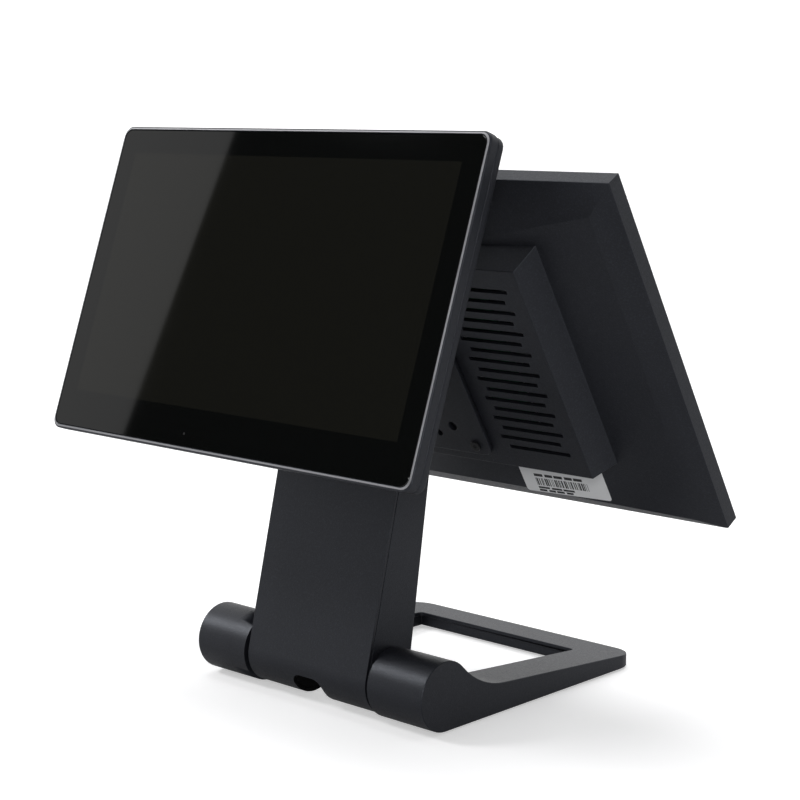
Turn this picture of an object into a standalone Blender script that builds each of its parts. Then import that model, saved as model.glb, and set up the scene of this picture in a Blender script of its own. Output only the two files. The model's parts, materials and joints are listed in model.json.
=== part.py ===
"""Point-of-sale touchscreen terminal with a second, customer-facing display.

A wedge-shaped ring base carries two hinge barrels.  A box column turns between
them and carries the tilting main unit at its head.  An arm on the main unit's
mounting plate carries the customer display, which tilts on its own hinge.

Units are metres.  +X is the width, +Z is up, the customer stands at -Y and the
cashier at +Y.  The origin is on the floor under the middle of the object.
"""
from math import atan, cos, pi, radians, sin

import bmesh
import bpy
from mathutils import Matrix, Vector

GAP = 0.0003              # clearance between pieces that touch
OVER = 0.002              # how far a cutter reaches past a wall
FAR = 0.1                 # a cutter's reach where nothing else is in its way

# Base: two side arms, a rear crossbar and two hinge barrels.
BASE_HALF_WIDTH = 0.0915
BASE_REAR_Y = 0.1313
BASE_BOTTOM_Z = 0.0012
BASE_CORNER_RADIUS = 0.0155
BARREL_RADIUS = 0.020
BARREL_AXIS_Y = -0.0453
BARREL_AXIS_Z = BASE_BOTTOM_Z + BARREL_RADIUS
BARREL_INNER_X = 0.0505
ARM_INNER_X = 0.0635
CROSSBAR_INNER_Y = 0.1046
WEDGE_START_Y = 0.005     # where the arm's straight top begins
WEDGE_SLOPE = 0.0786      # drop of the arm's top per metre towards the rear
FILLET_ANGLE = radians(46)
BARREL_STEPS = 44
HINGE_POCKET_RADIUS = 0.0125
HINGE_POCKET_END_X = 0.081
BOTTOM_RECESS = 0.0018
BOTTOM_RIM = 0.003
BOTTOM_FRONT_Y = BARREL_AXIS_Y + 0.004
BARREL_LAP = 0.02         # how far a barrel's inner stretch runs into the arm
BARREL_STEP = 0.00005     # the barrel's inner stretch is this much slimmer than the arm's end
RING_CORNER_RADIUS = 0.0025
LIP_HEIGHT = 0.0026       # the ring's inner walls stand back below a lip under the top
LIP_DEPTH = 0.0008
FOOT_RADIUS = 0.007
FRONT_FOOT = (0.0775, BARREL_AXIS_Y + 0.0135)
REAR_FOOT = (0.0775, BASE_REAR_Y - 0.014)

# Column, in a frame whose origin is on the barrel axis and whose Z runs up it.
COLUMN_LEAN = radians(13.5)
COLUMN_HALF_WIDTH = 0.048
COLUMN_FOOT_RADIUS = 0.0165
COLUMN_REAR_TAPER = 0.0853
COLUMN_WALL = 0.0025
WELL_HALF_WIDTH = 0.009   # the foot is hollow this far from the middle, above the passage
FRONT_COVER_THICKNESS = 0.002
FRONT_COVER_GAP = 0.0004
FRONT_COVER_END = radians(320)   # the cover wraps round under the foot to here
HOLLOW_LOW_Z = 0.006
HEAD_Z = 0.162
HOLLOW_HIGH_Z = HEAD_Z - 0.020
HEAD_SLOT_HALF_WIDTH = 0.0246
HEAD_SLOT_DEPTH = 0.015
SHAFT_RADIUS = 0.005
SHAFT_INNER_X = 0.031
SHAFT_OUTER_X = HINGE_POCKET_END_X - 0.001
BEAM_HALF_WIDTH = 0.042
BEAM_Y = (-0.014, -0.010)
BEAM_HIGH_Z = HEAD_Z - 0.023
RIB_X = (0.034, 0.040)
RIB_Y = (-0.011, -0.002)
RIB_INSET = 0.002         # the ribs are this much shorter than the beam at each end
NOTCH_HALF_WIDTH = 0.0120
NOTCH_TOP_Z = 0.0171
NOTCH_CORNER_RADIUS = 0.0065

# Main unit, in a frame whose origin is on the head hinge and whose Z runs up
# the screen and whose +Y points out of the screen, at the cashier.
MAIN_LEAN = radians(30.75)
MAIN_HALF_WIDTH = 0.1915
MAIN_TOP_Z = 0.1185
MAIN_BOTTOM_Z = -0.1055
RIM_REAR_Y = 0.0417
RIM_FRONT_Y = 0.0511
RIM_WALL = 0.0025
CREASE_HEIGHT = 0.004     # how far the side planes' outer edge stands behind the rim
CREASE_INSET_SIDE = 0.0165
CREASE_INSET_TOP = 0.0182
CREASE_INSET_BOTTOM = 0.0061
RIDGE_X = 0.0555          # where the side planes meet the flat middle
SIDE_PLANE_SLOPE = 0.0412
BOX_FRONT_Y = 0.0205
BOX_HALF_WIDTH = 0.1278
BOX_TOP_Z = 0.0753
BOX_BOTTOM_Z = -0.0641
BOX_DRAFT = 0.43
BOX_WALL = 0.0025
CAVITY_REAR_Y = 0.0437
CAVITY_LAP = 0.001        # how far the box's hollow runs into the screen's
SLOT_COUNT = 17
SLOT_PITCH = 0.0069
SLOT_HEIGHT = 0.0026
SLOT_LENGTH = 0.0433
SLOT_STAGGER = 0.004
SLOT_OUTER_X = 0.1178
SLOT_FIRST_Z = 0.0616
PLATE_HALF_WIDTH = 0.0603
PLATE_HALF_HEIGHT = 0.0565
PLATE_THICKNESS = 0.0025
PLATE_CORNER_RADIUS = 0.006
VESA_LARGE = 0.050        # half of the 100 mm hole spacing
VESA_SMALL = 0.0375       # half of the 75 mm hole spacing
SPARE_HOLE_X = 0.0246
SPARE_HOLE_Z = -0.044
SPARE_HOLE_RADIUS = 0.0022
VESA_SMALL_RADIUS = 0.0030
SCREW_RADIUS = 0.0018
SCREW_HOLE_RADIUS = SCREW_RADIUS + GAP
SCREW_HEAD_HEIGHT = 0.0009
SCREW_HEAD_RADIUS = 0.0035
SCREW_HEAD_LAP = 0.0001
SCREW_SOCKET_RADIUS = 0.0014
SCREW_SOCKET_SHARE = 2 / 3       # the socket's depth as a share of the head's height
MOUNTING_SCREW_LENGTH = 0.0062
KNUCKLE_RADIUS = 0.0085
KNUCKLE_HALF_WIDTH = 0.024
KNUCKLE_FLANGE_HALF_WIDTH = 0.032
KNUCKLE_FLANGE_HALF_HEIGHT = 0.014
KNUCKLE_FLANGE_THICKNESS = 0.003
TILT_PIN_RADIUS = 0.004
TILT_PIN_HALF_LENGTH = 0.0445

# Connectors along the box's bottom wall: middle x, middle y, width, height, depth, kind.
PORTS = {
    "usb_port_1": (0.074, 0.0268, 0.0131, 0.0055, 0.014, "tongue"),
    "usb_port_2": (0.056, 0.0268, 0.0131, 0.0055, 0.014, "tongue"),
    "video_port": (0.036, 0.0268, 0.0150, 0.0055, 0.011, "tongue"),
    "serial_port": (0.010, 0.0280, 0.0185, 0.0085, 0.010, "recess"),
    "network_port": (-0.016, 0.0298, 0.0140, 0.0120, 0.013, "recess"),
    "drawer_port": (-0.040, 0.0298, 0.0140, 0.0120, 0.013, "recess"),
    "power_inlet": (-0.064, 0.0278, 0.0090, 0.0080, 0.012, "pin"),
}
PORT_RECESS = 0.0004      # how far a mouth stands back from the wall
PORT_NOTCH = 0.007        # length of the notch in the back in front of a tall port
PORT_WALL = 0.0006
PORT_MOUTH_SHARE = 0.7    # a mouth's depth as a share of the connector's
PORT_TONGUE_Y = (-0.0001, 0.0015)
PORT_RECESS_DEPTH = 0.0036
INLET_RADIUS = 0.0032
INLET_PIN_RADIUS = 0.00125
INLET_PIN_START = 0.001
INLET_PIN_SHARE = 0.8     # how deep the pin is rooted, as a share of the connector's depth

# Electronics.  Plates on the board: left, right, low and high edge, height above it.
BOARD = (-0.085, 0.085, -0.060, 0.050)
BOARD_Y = 0.0365
BOARD_THICKNESS = 0.0016
BOARD_PLATES = {
    "cpu": (0.016, 0.044, -0.014, 0.014, 0.0019),
    "memory_module": (-0.070, -0.0024, 0.012, 0.042, 0.0042),
    "wireless_card": (-0.040, -0.010, -0.030, -0.008, 0.0030),
}
HEATSINK_WIDTH = 0.060
HEATSINK_BASE = 0.003
HEATSINK_HEIGHT = 0.010
HEATSINK_FINS = 8
DRIVE = (-0.118, -0.090, 0.0240, 0.0310, -0.050, 0.048)
SPEAKER_X = (0.092, 0.112)
SPEAKER_Y = (0.0330, 0.0400)
SPEAKER_Z = (-0.040, 0.000)
CONE_RADIUS = 0.008
CONE_DEPTH = 0.002

# Rating label, on the back's sloping plane beside the middle.
LABEL_X = (0.0605, 0.1208)
LABEL_Z = (-0.0938, -0.0668)
LABEL_THICKNESS = 0.0002
LABEL_CORNER_RADIUS = 0.002

# Power button, in the rim's bottom wall.
BUTTON_X = -0.165
BUTTON_Y = 0.0466
BUTTON_WIDTH = 0.003
BUTTON_LENGTH = 0.012
BUTTON_PROUD = 0.0012
BUTTON_FLANGE = 0.0012
BUTTON_TRAVEL = 0.0008
SWITCH_SIZE = (0.006, 0.0034, 0.0022)

# Screens.  Glass sizes come from the housings; the panels are stock sizes.
MAIN_PANEL = (0.3507, 0.2052, 0.0032)
DISPLAY_PANEL = (0.268, 0.157, 0.003)
STACK_INSET = 0.0035      # from the main unit's outline to the carrier and the gasket
STACK_BOTTOM_INSET = 0.008
CARRIER_THICKNESS = 0.001
CARRIER_WINDOW = (-0.015, 0.015, 0.080, 0.092)
CARRIER_WINDOW_RADIUS = 0.004
GLASS_CORNER_RADIUS = 0.001
GLASS_SETBACK = 0.0002

# Customer display, in a frame whose origin is on its hinge, Z up the screen
# and +Y pointing out of its back.
DISPLAY_LEAN = radians(19.3)
DISPLAY_HALF_WIDTH = 0.1435
DISPLAY_TOP_Z = 0.0935
DISPLAY_BOTTOM_Z = -0.0908
DISPLAY_SCREEN_Z = 0.005  # height of the picture's middle
DISPLAY_FRONT_Y = -0.027
DISPLAY_FRAME_DEPTH = 0.0066
DISPLAY_SEAM = 0.0004
DISPLAY_DEPTH = 0.0116
DISPLAY_CORNER_RADIUS = 0.006
DISPLAY_LIP = 0.0020      # width of the frame's edge round the glass
DISPLAY_LIP_RADIUS = 0.0048
DISPLAY_GLASS_RADIUS = 0.0045
DISPLAY_GLASS_SETBACK = 0.0001
DISPLAY_LEDGE = 0.0016    # depth of the ledge the glass rests on
DISPLAY_WINDOW_GAP = 0.001
DISPLAY_COVER_INSET = 0.0004
DISPLAY_COVER_WALL = 0.006
DISPLAY_COVER_RADIUS = 0.003
DISPLAY_COVER_HOLLOW = 0.0024
DISPLAY_BOARD = (-0.060, 0.060, -0.055, -0.010)
DISPLAY_BOARD_REACH = 0.0008
DISPLAY_PIVOT = Vector((0.0, -0.0759, 0.2320))
DISPLAY_KNUCKLE_RADIUS = 0.006
DISPLAY_PIN_RADIUS = 0.003
DISPLAY_SCREW_LENGTH = 0.0044
HINGE_PLATE_HALF = 0.045
HINGE_PLATE_RADIUS = 0.005
HINGE_PLATE_THICKNESS = 0.002
LUG_WIDTH = 0.006
LUG_ROOT = 0.0015         # where a lug starts inside the hinge plate
LUG_ROOT_RADIUS = 0.0014
ARM_HALF_WIDTH = 0.017
ARM_ROOT_Z = 0.044
ARM_ROOT_RADIUS = 0.004
ARM_FLANGE_HALF_WIDTH = 0.030
ARM_FLANGE_Z = (0.020, 0.054)
DISPLAY_PIN_HALF_LENGTH = ARM_HALF_WIDTH + 0.008


# ---------------------------------------------------------------- helpers

def arc(center, radius, start, end, steps):
    """Points along a circular arc, angles in radians, both ends included."""
    return [(center[0] + radius * cos(start + (end - start) * i / steps),
             center[1] + radius * sin(start + (end - start) * i / steps))
            for i in range(steps + 1)]


def circle(center, radius, steps=20):
    """A closed circle's points."""
    return arc(center, radius, 0.0, 2 * pi, steps)[:-1]


def rectangle(x0, x1, z0, z1):
    return [(x0, z0), (x1, z0), (x1, z1), (x0, z1)]


def rounded_rectangle(x0, x1, z0, z1, radius, steps=4):
    """A rectangle with round corners, counter-clockwise."""
    corners = ((x1 - radius, z0 + radius, -pi / 2), (x1 - radius, z1 - radius, 0.0),
               (x0 + radius, z1 - radius, pi / 2), (x0 + radius, z0 + radius, pi))
    points = []
    for cx, cz, start in corners:
        points += arc((cx, cz), radius, start, start + pi / 2, steps)
    return points


def capsule(p0, r0, p1, r1, steps=10):
    """The outline around two circles, for arms and lugs."""
    heading = Vector((p1[0] - p0[0], p1[1] - p0[1]))
    angle = Vector((1.0, 0.0)).angle_signed(heading) * -1.0
    spread = pi / 2 - (r1 - r0) / heading.length
    return (arc(p1, r1, angle - spread, angle + spread, steps)
            + arc(p0, r0, angle + spread, angle + 2 * pi - spread, steps))


def extrude(outline, axis, low, high):
    """A closed mesh: an outline in the other two axes, extruded along one axis."""
    place = {"X": lambda a, b, c: (c, a, b),
             "Y": lambda a, b, c: (a, c, b),
             "Z": lambda a, b, c: (a, b, c)}[axis]
    shape = bmesh.new()
    bottom = [shape.verts.new(place(a, b, low)) for a, b in outline]
    top = [shape.verts.new(place(a, b, high)) for a, b in outline]
    shape.faces.new(bottom)
    shape.faces.new(top)
    count = len(outline)
    for i in range(count):
        j = (i + 1) % count
        shape.faces.new((bottom[i], bottom[j], top[j], top[i]))
    bmesh.ops.recalc_face_normals(shape, faces=shape.faces)
    return finish_mesh(shape)


def block(x0, x1, y0, y1, z0, z1):
    """A box between six planes."""
    return extrude(rectangle(x0, x1, y0, y1), "Z", z0, z1)


def polyhedron(points, faces):
    """A closed mesh from corner points and the faces between them."""
    shape = bmesh.new()
    verts = [shape.verts.new(p) for p in points]
    for face in faces:
        shape.faces.new([verts[i] for i in face])
    bmesh.ops.recalc_face_normals(shape, faces=shape.faces)
    return finish_mesh(shape)


def finish_mesh(shape):
    mesh = bpy.data.meshes.new("mesh")
    shape.to_mesh(mesh)
    shape.free()
    return mesh


def smooth(obj, angle=30):
    """Shade round surfaces smooth and keep the real edges sharp."""
    obj.data.shade_smooth()
    obj.data.set_sharp_from_angle(angle=radians(angle))
    return obj


def material(name, color, roughness, metallic=0.0):
    mat = bpy.data.materials.new(name)
    mat.use_nodes = True
    shader = mat.node_tree.nodes["Principled BSDF"]
    shader.inputs["Base Color"].default_value = (*color, 1.0)
    shader.inputs["Roughness"].default_value = roughness
    shader.inputs["Metallic"].default_value = metallic
    return mat


def add(name, mesh, mat, parent=None):
    """A named sub-part from a mesh."""
    obj = bpy.data.objects.new(name, mesh)
    mesh.name = name
    mesh.materials.append(mat)
    bpy.context.scene.collection.objects.link(obj)
    obj.parent = parent
    return obj


def shape_with(target, mesh, operation, in_world=False):
    """Join a mesh to a sub-part, cut it away or keep only what it encloses."""
    helper = bpy.data.objects.new("helper_" + target.name, mesh)
    bpy.context.scene.collection.objects.link(helper)
    helper.parent = None if in_world else target.parent
    helper.hide_render = True
    helper.display_type = "WIRE"
    modifier = target.modifiers.new(operation.title(), "BOOLEAN")
    modifier.operation = operation
    modifier.solver = "EXACT"
    modifier.object = helper


def join(target, mesh):
    shape_with(target, mesh, "UNION")


def cut(target, mesh, in_world=False):
    shape_with(target, mesh, "DIFFERENCE", in_world)


def pivot(name, location, lean):
    """An empty on a joint's axis, turned about X to a body's rest angle."""
    empty = bpy.data.objects.new(name, None)
    bpy.context.scene.collection.objects.link(empty)
    empty.matrix_world = Matrix.Translation(location) @ Matrix.Rotation(lean, 4, "X")
    bpy.context.view_layer.update()
    return empty


def pivot_child(name, parent, location):
    """An empty at a place in its parent's frame."""
    empty = bpy.data.objects.new(name, None)
    bpy.context.scene.collection.objects.link(empty)
    empty.parent = parent
    empty.location = location
    return empty


# ------------------------------------------------------------------- base

def fillet_circle():
    """Centre and radius of the concave fillet between barrel and arm."""
    leave = pi / 2 - FILLET_ANGLE
    leave_y = BARREL_AXIS_Y + BARREL_RADIUS * cos(leave)
    leave_z = BARREL_AXIS_Z + BARREL_RADIUS * sin(leave)
    radius = (WEDGE_START_Y - leave_y) / (sin(FILLET_ANGLE) - sin(atan(WEDGE_SLOPE)))
    center = (leave_y + radius * sin(FILLET_ANGLE), leave_z + radius * cos(FILLET_ANGLE))
    return center, radius


def wedge_top(y):
    """Height of the base's sloping top at a place along Y."""
    center, radius = fillet_circle()
    start_z = center[1] - radius * cos(atan(WEDGE_SLOPE))
    return start_z - (y - WEDGE_START_Y) * WEDGE_SLOPE


def arm_outline():
    """Side view of an arm: barrel, concave fillet, sloping top, flat bottom."""
    center, radius = fillet_circle()
    points = arc((BARREL_AXIS_Y, BARREL_AXIS_Z), BARREL_RADIUS, 1.5 * pi, pi / 2 - FILLET_ANGLE,
                 30)
    points += arc(center, radius, 1.5 * pi - FILLET_ANGLE, 1.5 * pi - atan(WEDGE_SLOPE), 8)[1:]
    points += [(BASE_REAR_Y, wedge_top(BASE_REAR_Y)), (BASE_REAR_Y, BASE_BOTTOM_Z)]
    return points


def base_plan(inset, front_y, ring_radius=0.0):
    """Plan view of the U of arms and crossbar, drawn in by an inset on every side."""
    outer = BASE_HALF_WIDTH - inset
    inner = ARM_INNER_X + inset
    rear = BASE_REAR_Y - inset
    radius = BASE_CORNER_RADIUS - inset / 2
    front = CROSSBAR_INNER_Y + inset
    points = [(outer, front_y)]
    points += arc((outer - radius, rear - radius), radius, 0.0, pi / 2, 6)
    points += arc((-outer + radius, rear - radius), radius, pi / 2, pi, 6)
    points += [(-outer, front_y), (-inner, front_y)]
    if ring_radius:
        points += arc((-inner + ring_radius, front - ring_radius), ring_radius, pi, pi / 2, 4)
        points += arc((inner - ring_radius, front - ring_radius), ring_radius, pi / 2, 0.0, 4)
    else:
        points += [(-inner, front), (inner, front)]
    return points + [(inner, front_y)]


def build_ring(paint):
    """The base frame: one casting with both arms, the crossbar and the barrels."""
    frame = add("base_frame", extrude(arm_outline(), "X", -BASE_HALF_WIDTH, BASE_HALF_WIDTH),
                paint)
    plan = base_plan(0.0, BARREL_AXIS_Y - FAR, RING_CORNER_RADIUS)
    shape_with(frame, extrude(plan, "Z", -FAR, FAR), "INTERSECT")
    axis = (BARREL_AXIS_Y, BARREL_AXIS_Z)
    barrel = arc(axis, BARREL_RADIUS - BARREL_STEP, -pi / 2, 1.5 * pi, BARREL_STEPS)[:-1]
    for side in (-1, 1):
        low, high = sorted((side * BARREL_INNER_X, side * (ARM_INNER_X + BARREL_LAP)))
        join(frame, extrude(barrel, "X", low, high))
    for side in (-1, 1):
        low, high = sorted((side * (BARREL_INNER_X - OVER), side * HINGE_POCKET_END_X))
        cut(frame, extrude(circle(axis, HINGE_POCKET_RADIUS, 24), "X", low, high))
    back = CROSSBAR_INNER_Y + LIP_DEPTH
    below_lip = [(WEDGE_START_Y, -FAR), (back, -FAR), (back, wedge_top(back) - LIP_HEIGHT),
                 (WEDGE_START_Y, wedge_top(WEDGE_START_Y) - LIP_HEIGHT)]
    cut(frame, extrude(below_lip, "X", -ARM_INNER_X - LIP_DEPTH, ARM_INNER_X + LIP_DEPTH))
    recess = base_plan(BOTTOM_RIM, BOTTOM_FRONT_Y)
    cut(frame, extrude(recess, "Z", BASE_BOTTOM_Z - OVER, BASE_BOTTOM_Z + BOTTOM_RECESS))
    smooth(frame)


def build_feet(rubber):
    for end, (foot_x, foot_y) in (("front", FRONT_FOOT), ("rear", REAR_FOOT)):
        for side, sign in (("left", -1), ("right", 1)):
            outline = circle((sign * foot_x, foot_y), FOOT_RADIUS, 20)
            smooth(add(f"foot_{end}_{side}",
                       extrude(outline, "Z", 0.0, BASE_BOTTOM_Z - GAP), rubber))


def build_hinge_sleeves(steel):
    axis = (BARREL_AXIS_Y, BARREL_AXIS_Z)
    for side, sign in (("left", -1), ("right", 1)):
        low, high = sorted((sign * (BARREL_INNER_X + GAP), sign * (HINGE_POCKET_END_X - GAP)))
        sleeve = add(f"friction_hinge_{side}",
                     extrude(circle(axis, HINGE_POCKET_RADIUS - GAP, 24), "X", low, high), steel)
        cut(sleeve, extrude(circle(axis, SHAFT_RADIUS + GAP, 16), "X", low - OVER, high + OVER))
        smooth(sleeve)


def build_base(paint, steel, rubber):
    build_ring(paint)
    plan = base_plan(BOTTOM_RIM + GAP, BOTTOM_FRONT_Y + GAP)
    add("base_bottom_plate",
        extrude(plan, "Z", BASE_BOTTOM_Z, BASE_BOTTOM_Z + BOTTOM_RECESS - GAP), steel)
    build_feet(rubber)
    build_hinge_sleeves(steel)


# ----------------------------------------------------------------- column

def column_rear(z):
    """Y of the column's rear plane at a height."""
    offset = COLUMN_FOOT_RADIUS / cos(atan(COLUMN_REAR_TAPER))
    return offset - z * COLUMN_REAR_TAPER


def head_center():
    """The head hinge's place in the column's side view."""
    front, rear = -COLUMN_FOOT_RADIUS, column_rear(HEAD_Z)
    return (front + rear) / 2, HEAD_Z


def column_outline():
    """Side view of the shell: round foot, straight front, tapering rear, round head."""
    taper = atan(COLUMN_REAR_TAPER)
    center = head_center()
    radius = (column_rear(HEAD_Z) + COLUMN_FOOT_RADIUS) / 2 * cos(taper)
    points = arc(center, radius, taper, pi, 12)
    points += arc((0.0, 0.0), COLUMN_FOOT_RADIUS, pi, 2 * pi + taper, 24)
    return points


def front_cover_outline():
    """Side view of the thin panel in front, which wraps round under the foot."""
    inner = COLUMN_FOOT_RADIUS + FRONT_COVER_GAP
    outer = inner + FRONT_COVER_THICKNESS
    end = FRONT_COVER_END
    points = [(-outer, HEAD_Z)] + arc((0.0, 0.0), outer, pi, end, 24)
    points += arc((0.0, 0.0), inner, end, pi, 24) + [(-inner, HEAD_Z)]
    return points


def notch_mesh():
    """The cable passage under the foot, in world axes."""
    outline = [(NOTCH_HALF_WIDTH, -FAR), (NOTCH_HALF_WIDTH, NOTCH_TOP_Z - NOTCH_CORNER_RADIUS)]
    radius = NOTCH_CORNER_RADIUS
    outline += arc((NOTCH_HALF_WIDTH - radius, NOTCH_TOP_Z - radius), radius, 0.0, pi / 2, 5)
    outline += [(-x, z) for x, z in reversed(outline)]
    return extrude(outline, "Y", BARREL_AXIS_Y - FAR, BARREL_AXIS_Y + FAR)


def build_column(turn, paint, steel):
    half = COLUMN_HALF_WIDTH
    shell = add("column_shell", extrude(column_outline(), "X", -half, half), paint, turn)
    inside = COLUMN_WALL
    low, high = HOLLOW_LOW_Z, HOLLOW_HIGH_Z
    hollow = [(-FAR, low), (column_rear(low) - inside, low),
              (column_rear(high) - inside, high), (-FAR, high)]
    cut(shell, extrude(hollow, "X", -half + inside, half - inside))
    well = circle((0.0, 0.0), COLUMN_FOOT_RADIUS - inside, 24)
    cut(shell, extrude(well, "X", -WELL_HALF_WIDTH, WELL_HALF_WIDTH))
    cut(shell, block(-HEAD_SLOT_HALF_WIDTH, HEAD_SLOT_HALF_WIDTH, -FAR, FAR,
                     HEAD_Z - HEAD_SLOT_DEPTH, HEAD_Z + FAR))
    cut(shell, notch_mesh(), in_world=True)
    cut(shell, extrude(circle((0.0, 0.0), SHAFT_RADIUS + GAP, 16), "X", -FAR, FAR))
    pin_reach = TILT_PIN_HALF_LENGTH + GAP
    cut(shell, extrude(circle(head_center(), TILT_PIN_RADIUS + GAP, 16), "X",
                       -pin_reach, pin_reach))
    smooth(shell)

    cover = add("column_front_cover", extrude(front_cover_outline(), "X", -half, half), paint, turn)
    cut(cover, notch_mesh(), in_world=True)
    smooth(cover)

    low, high = HOLLOW_LOW_Z + GAP, BEAM_HIGH_Z
    beam = add("column_beam", block(-BEAM_HALF_WIDTH, BEAM_HALF_WIDTH, *BEAM_Y, low, high), steel,
               turn)
    for side in (-1, 1):
        ribs = sorted(side * x for x in RIB_X)
        join(beam, block(*ribs, *RIB_Y, low + RIB_INSET, high - RIB_INSET))

    for side, sign in (("left", -1), ("right", 1)):
        low, high = sorted((sign * SHAFT_INNER_X, sign * SHAFT_OUTER_X))
        smooth(add(f"hinge_shaft_{side}",
                   extrude(circle((0.0, 0.0), SHAFT_RADIUS, 16), "X", low, high), steel, turn))


# -------------------------------------------------------------- main unit

def rear_cover_points():
    """Corners of the main unit's hipped back: rim, crease and ridge, from both sides."""
    crease_x = MAIN_HALF_WIDTH - CREASE_INSET_SIDE
    ridge_height = CREASE_HEIGHT + SIDE_PLANE_SLOPE * (crease_x - RIDGE_X)
    rise = ridge_height / CREASE_HEIGHT
    levels = ((MAIN_HALF_WIDTH, RIM_FRONT_Y, MAIN_TOP_Z, MAIN_BOTTOM_Z),
              (MAIN_HALF_WIDTH, RIM_REAR_Y, MAIN_TOP_Z, MAIN_BOTTOM_Z),
              (crease_x, RIM_REAR_Y - CREASE_HEIGHT, MAIN_TOP_Z - CREASE_INSET_TOP,
               MAIN_BOTTOM_Z + CREASE_INSET_BOTTOM),
              (RIDGE_X, RIM_REAR_Y - ridge_height, MAIN_TOP_Z - CREASE_INSET_TOP * rise,
               MAIN_BOTTOM_Z + CREASE_INSET_BOTTOM * rise))
    points = []
    for x, y, top, bottom in levels:
        points += [(-x, y, top), (x, y, top), (x, y, bottom), (-x, y, bottom)]
    return points


def rear_cover_block():
    """The main unit's outer block without the box on its back."""
    faces = [(0, 1, 2, 3)]
    faces += [(i, (i + 1) % 4, (i + 1) % 4 + 4, i + 4) for i in range(4)]
    faces += [(4, 5, 9, 13, 12, 8), (6, 7, 11, 15, 14, 10)]
    faces += [(5, 6, 10, 9), (7, 4, 8, 11), (9, 10, 14, 13), (11, 8, 12, 15), (12, 13, 14, 15)]
    return polyhedron(rear_cover_points(), faces)


def back_box(half_width, top, bottom, rear_y, front_y, draft):
    """The raised box on the back: a frustum whose bottom wall has no draft."""
    spread = draft * (rear_y - front_y)
    points = [(-half_width, front_y, top), (half_width, front_y, top),
              (half_width, front_y, bottom), (-half_width, front_y, bottom),
              (-half_width - spread, rear_y, top + spread), (half_width + spread, rear_y, top + spread),
              (half_width + spread, rear_y, bottom), (-half_width - spread, rear_y, bottom)]
    faces = [(0, 1, 2, 3), (7, 6, 5, 4), (0, 4, 5, 1), (1, 5, 6, 2), (2, 6, 7, 3), (3, 7, 4, 0)]
    return polyhedron(points, faces)


def side_plane_y(x):
    """Y of the side plane of the back at a distance from the middle."""
    crease_x = MAIN_HALF_WIDTH - CREASE_INSET_SIDE
    return RIM_REAR_Y - CREASE_HEIGHT - SIDE_PLANE_SLOPE * (crease_x - abs(x))


def build_rear_cover(tilt, shell):
    cover = add("main_rear_cover", rear_cover_block(), shell, tilt)
    join(cover, back_box(BOX_HALF_WIDTH, BOX_TOP_Z, BOX_BOTTOM_Z, RIM_REAR_Y, BOX_FRONT_Y,
                         BOX_DRAFT))
    wall = RIM_WALL
    cut(cover, block(-MAIN_HALF_WIDTH + wall, MAIN_HALF_WIDTH - wall, CAVITY_REAR_Y,
                     RIM_FRONT_Y + OVER, MAIN_BOTTOM_Z + wall, MAIN_TOP_Z - wall))
    cut(cover, back_box(BOX_HALF_WIDTH - BOX_WALL, BOX_TOP_Z - BOX_WALL,
                        BOX_BOTTOM_Z + BOX_WALL, CAVITY_REAR_Y + CAVITY_LAP,
                        BOX_FRONT_Y + BOX_WALL, BOX_DRAFT / 2))
    for index in range(SLOT_COUNT):
        outer = SLOT_OUTER_X - SLOT_STAGGER * (index % 2)
        middle = SLOT_FIRST_Z - SLOT_PITCH * index
        for side in (-1, 1):
            low, high = sorted((side * outer, side * (outer - SLOT_LENGTH)))
            cut(cover, block(low, high, BOX_FRONT_Y - OVER, BOX_FRONT_Y + BOX_WALL + OVER,
                             middle - SLOT_HEIGHT / 2, middle + SLOT_HEIGHT / 2))
    for x, y, width, height, _depth, _kind in PORTS.values():
        cut(cover, block(x - width / 2 - GAP, x + width / 2 + GAP,
                         y - height / 2 - GAP, y + height / 2 + GAP,
                         BOX_BOTTOM_Z - PORT_NOTCH, BOX_BOTTOM_Z + BOX_WALL + OVER))
    for x in (-VESA_LARGE, VESA_LARGE):
        for z in (-VESA_LARGE, VESA_LARGE):
            cut(cover, extrude(circle((x, z), SCREW_HOLE_RADIUS, 12), "Y", BOX_FRONT_Y - OVER,
                               BOX_FRONT_Y + BOX_WALL + OVER))
    cut(cover, block(BUTTON_X - BUTTON_LENGTH / 2 - GAP, BUTTON_X + BUTTON_LENGTH / 2 + GAP,
                     BUTTON_Y - BUTTON_WIDTH / 2 - GAP, BUTTON_Y + BUTTON_WIDTH / 2 + GAP,
                     MAIN_BOTTOM_Z - OVER, MAIN_BOTTOM_Z + wall + OVER))


def build_button(tilt, plastic, steel):
    """The power button: a cap with a flange behind the rim wall, and its switch."""
    wall_inner = MAIN_BOTTOM_Z + RIM_WALL
    half = BUTTON_LENGTH / 2
    wide = half + BUTTON_FLANGE
    low, high = GAP, GAP + BUTTON_FLANGE
    cap = -RIM_WALL - BUTTON_PROUD
    tee = [(-half, cap), (half, cap), (half, low), (wide, low), (wide, high), (-wide, high),
           (-wide, low), (-half, low)]
    rest = pivot_child("button_rest", tilt, (BUTTON_X, BUTTON_Y, wall_inner))
    add("power_button", extrude(tee, "Y", -BUTTON_WIDTH / 2, BUTTON_WIDTH / 2), plastic, rest)
    width, depth, height = SWITCH_SIZE
    switch_z = wall_inner + high + BUTTON_TRAVEL + GAP
    add("power_switch", block(BUTTON_X - width / 2, BUTTON_X + width / 2, BUTTON_Y - depth / 2,
                              BUTTON_Y + depth / 2, switch_z, switch_z + height), steel, tilt)


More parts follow.
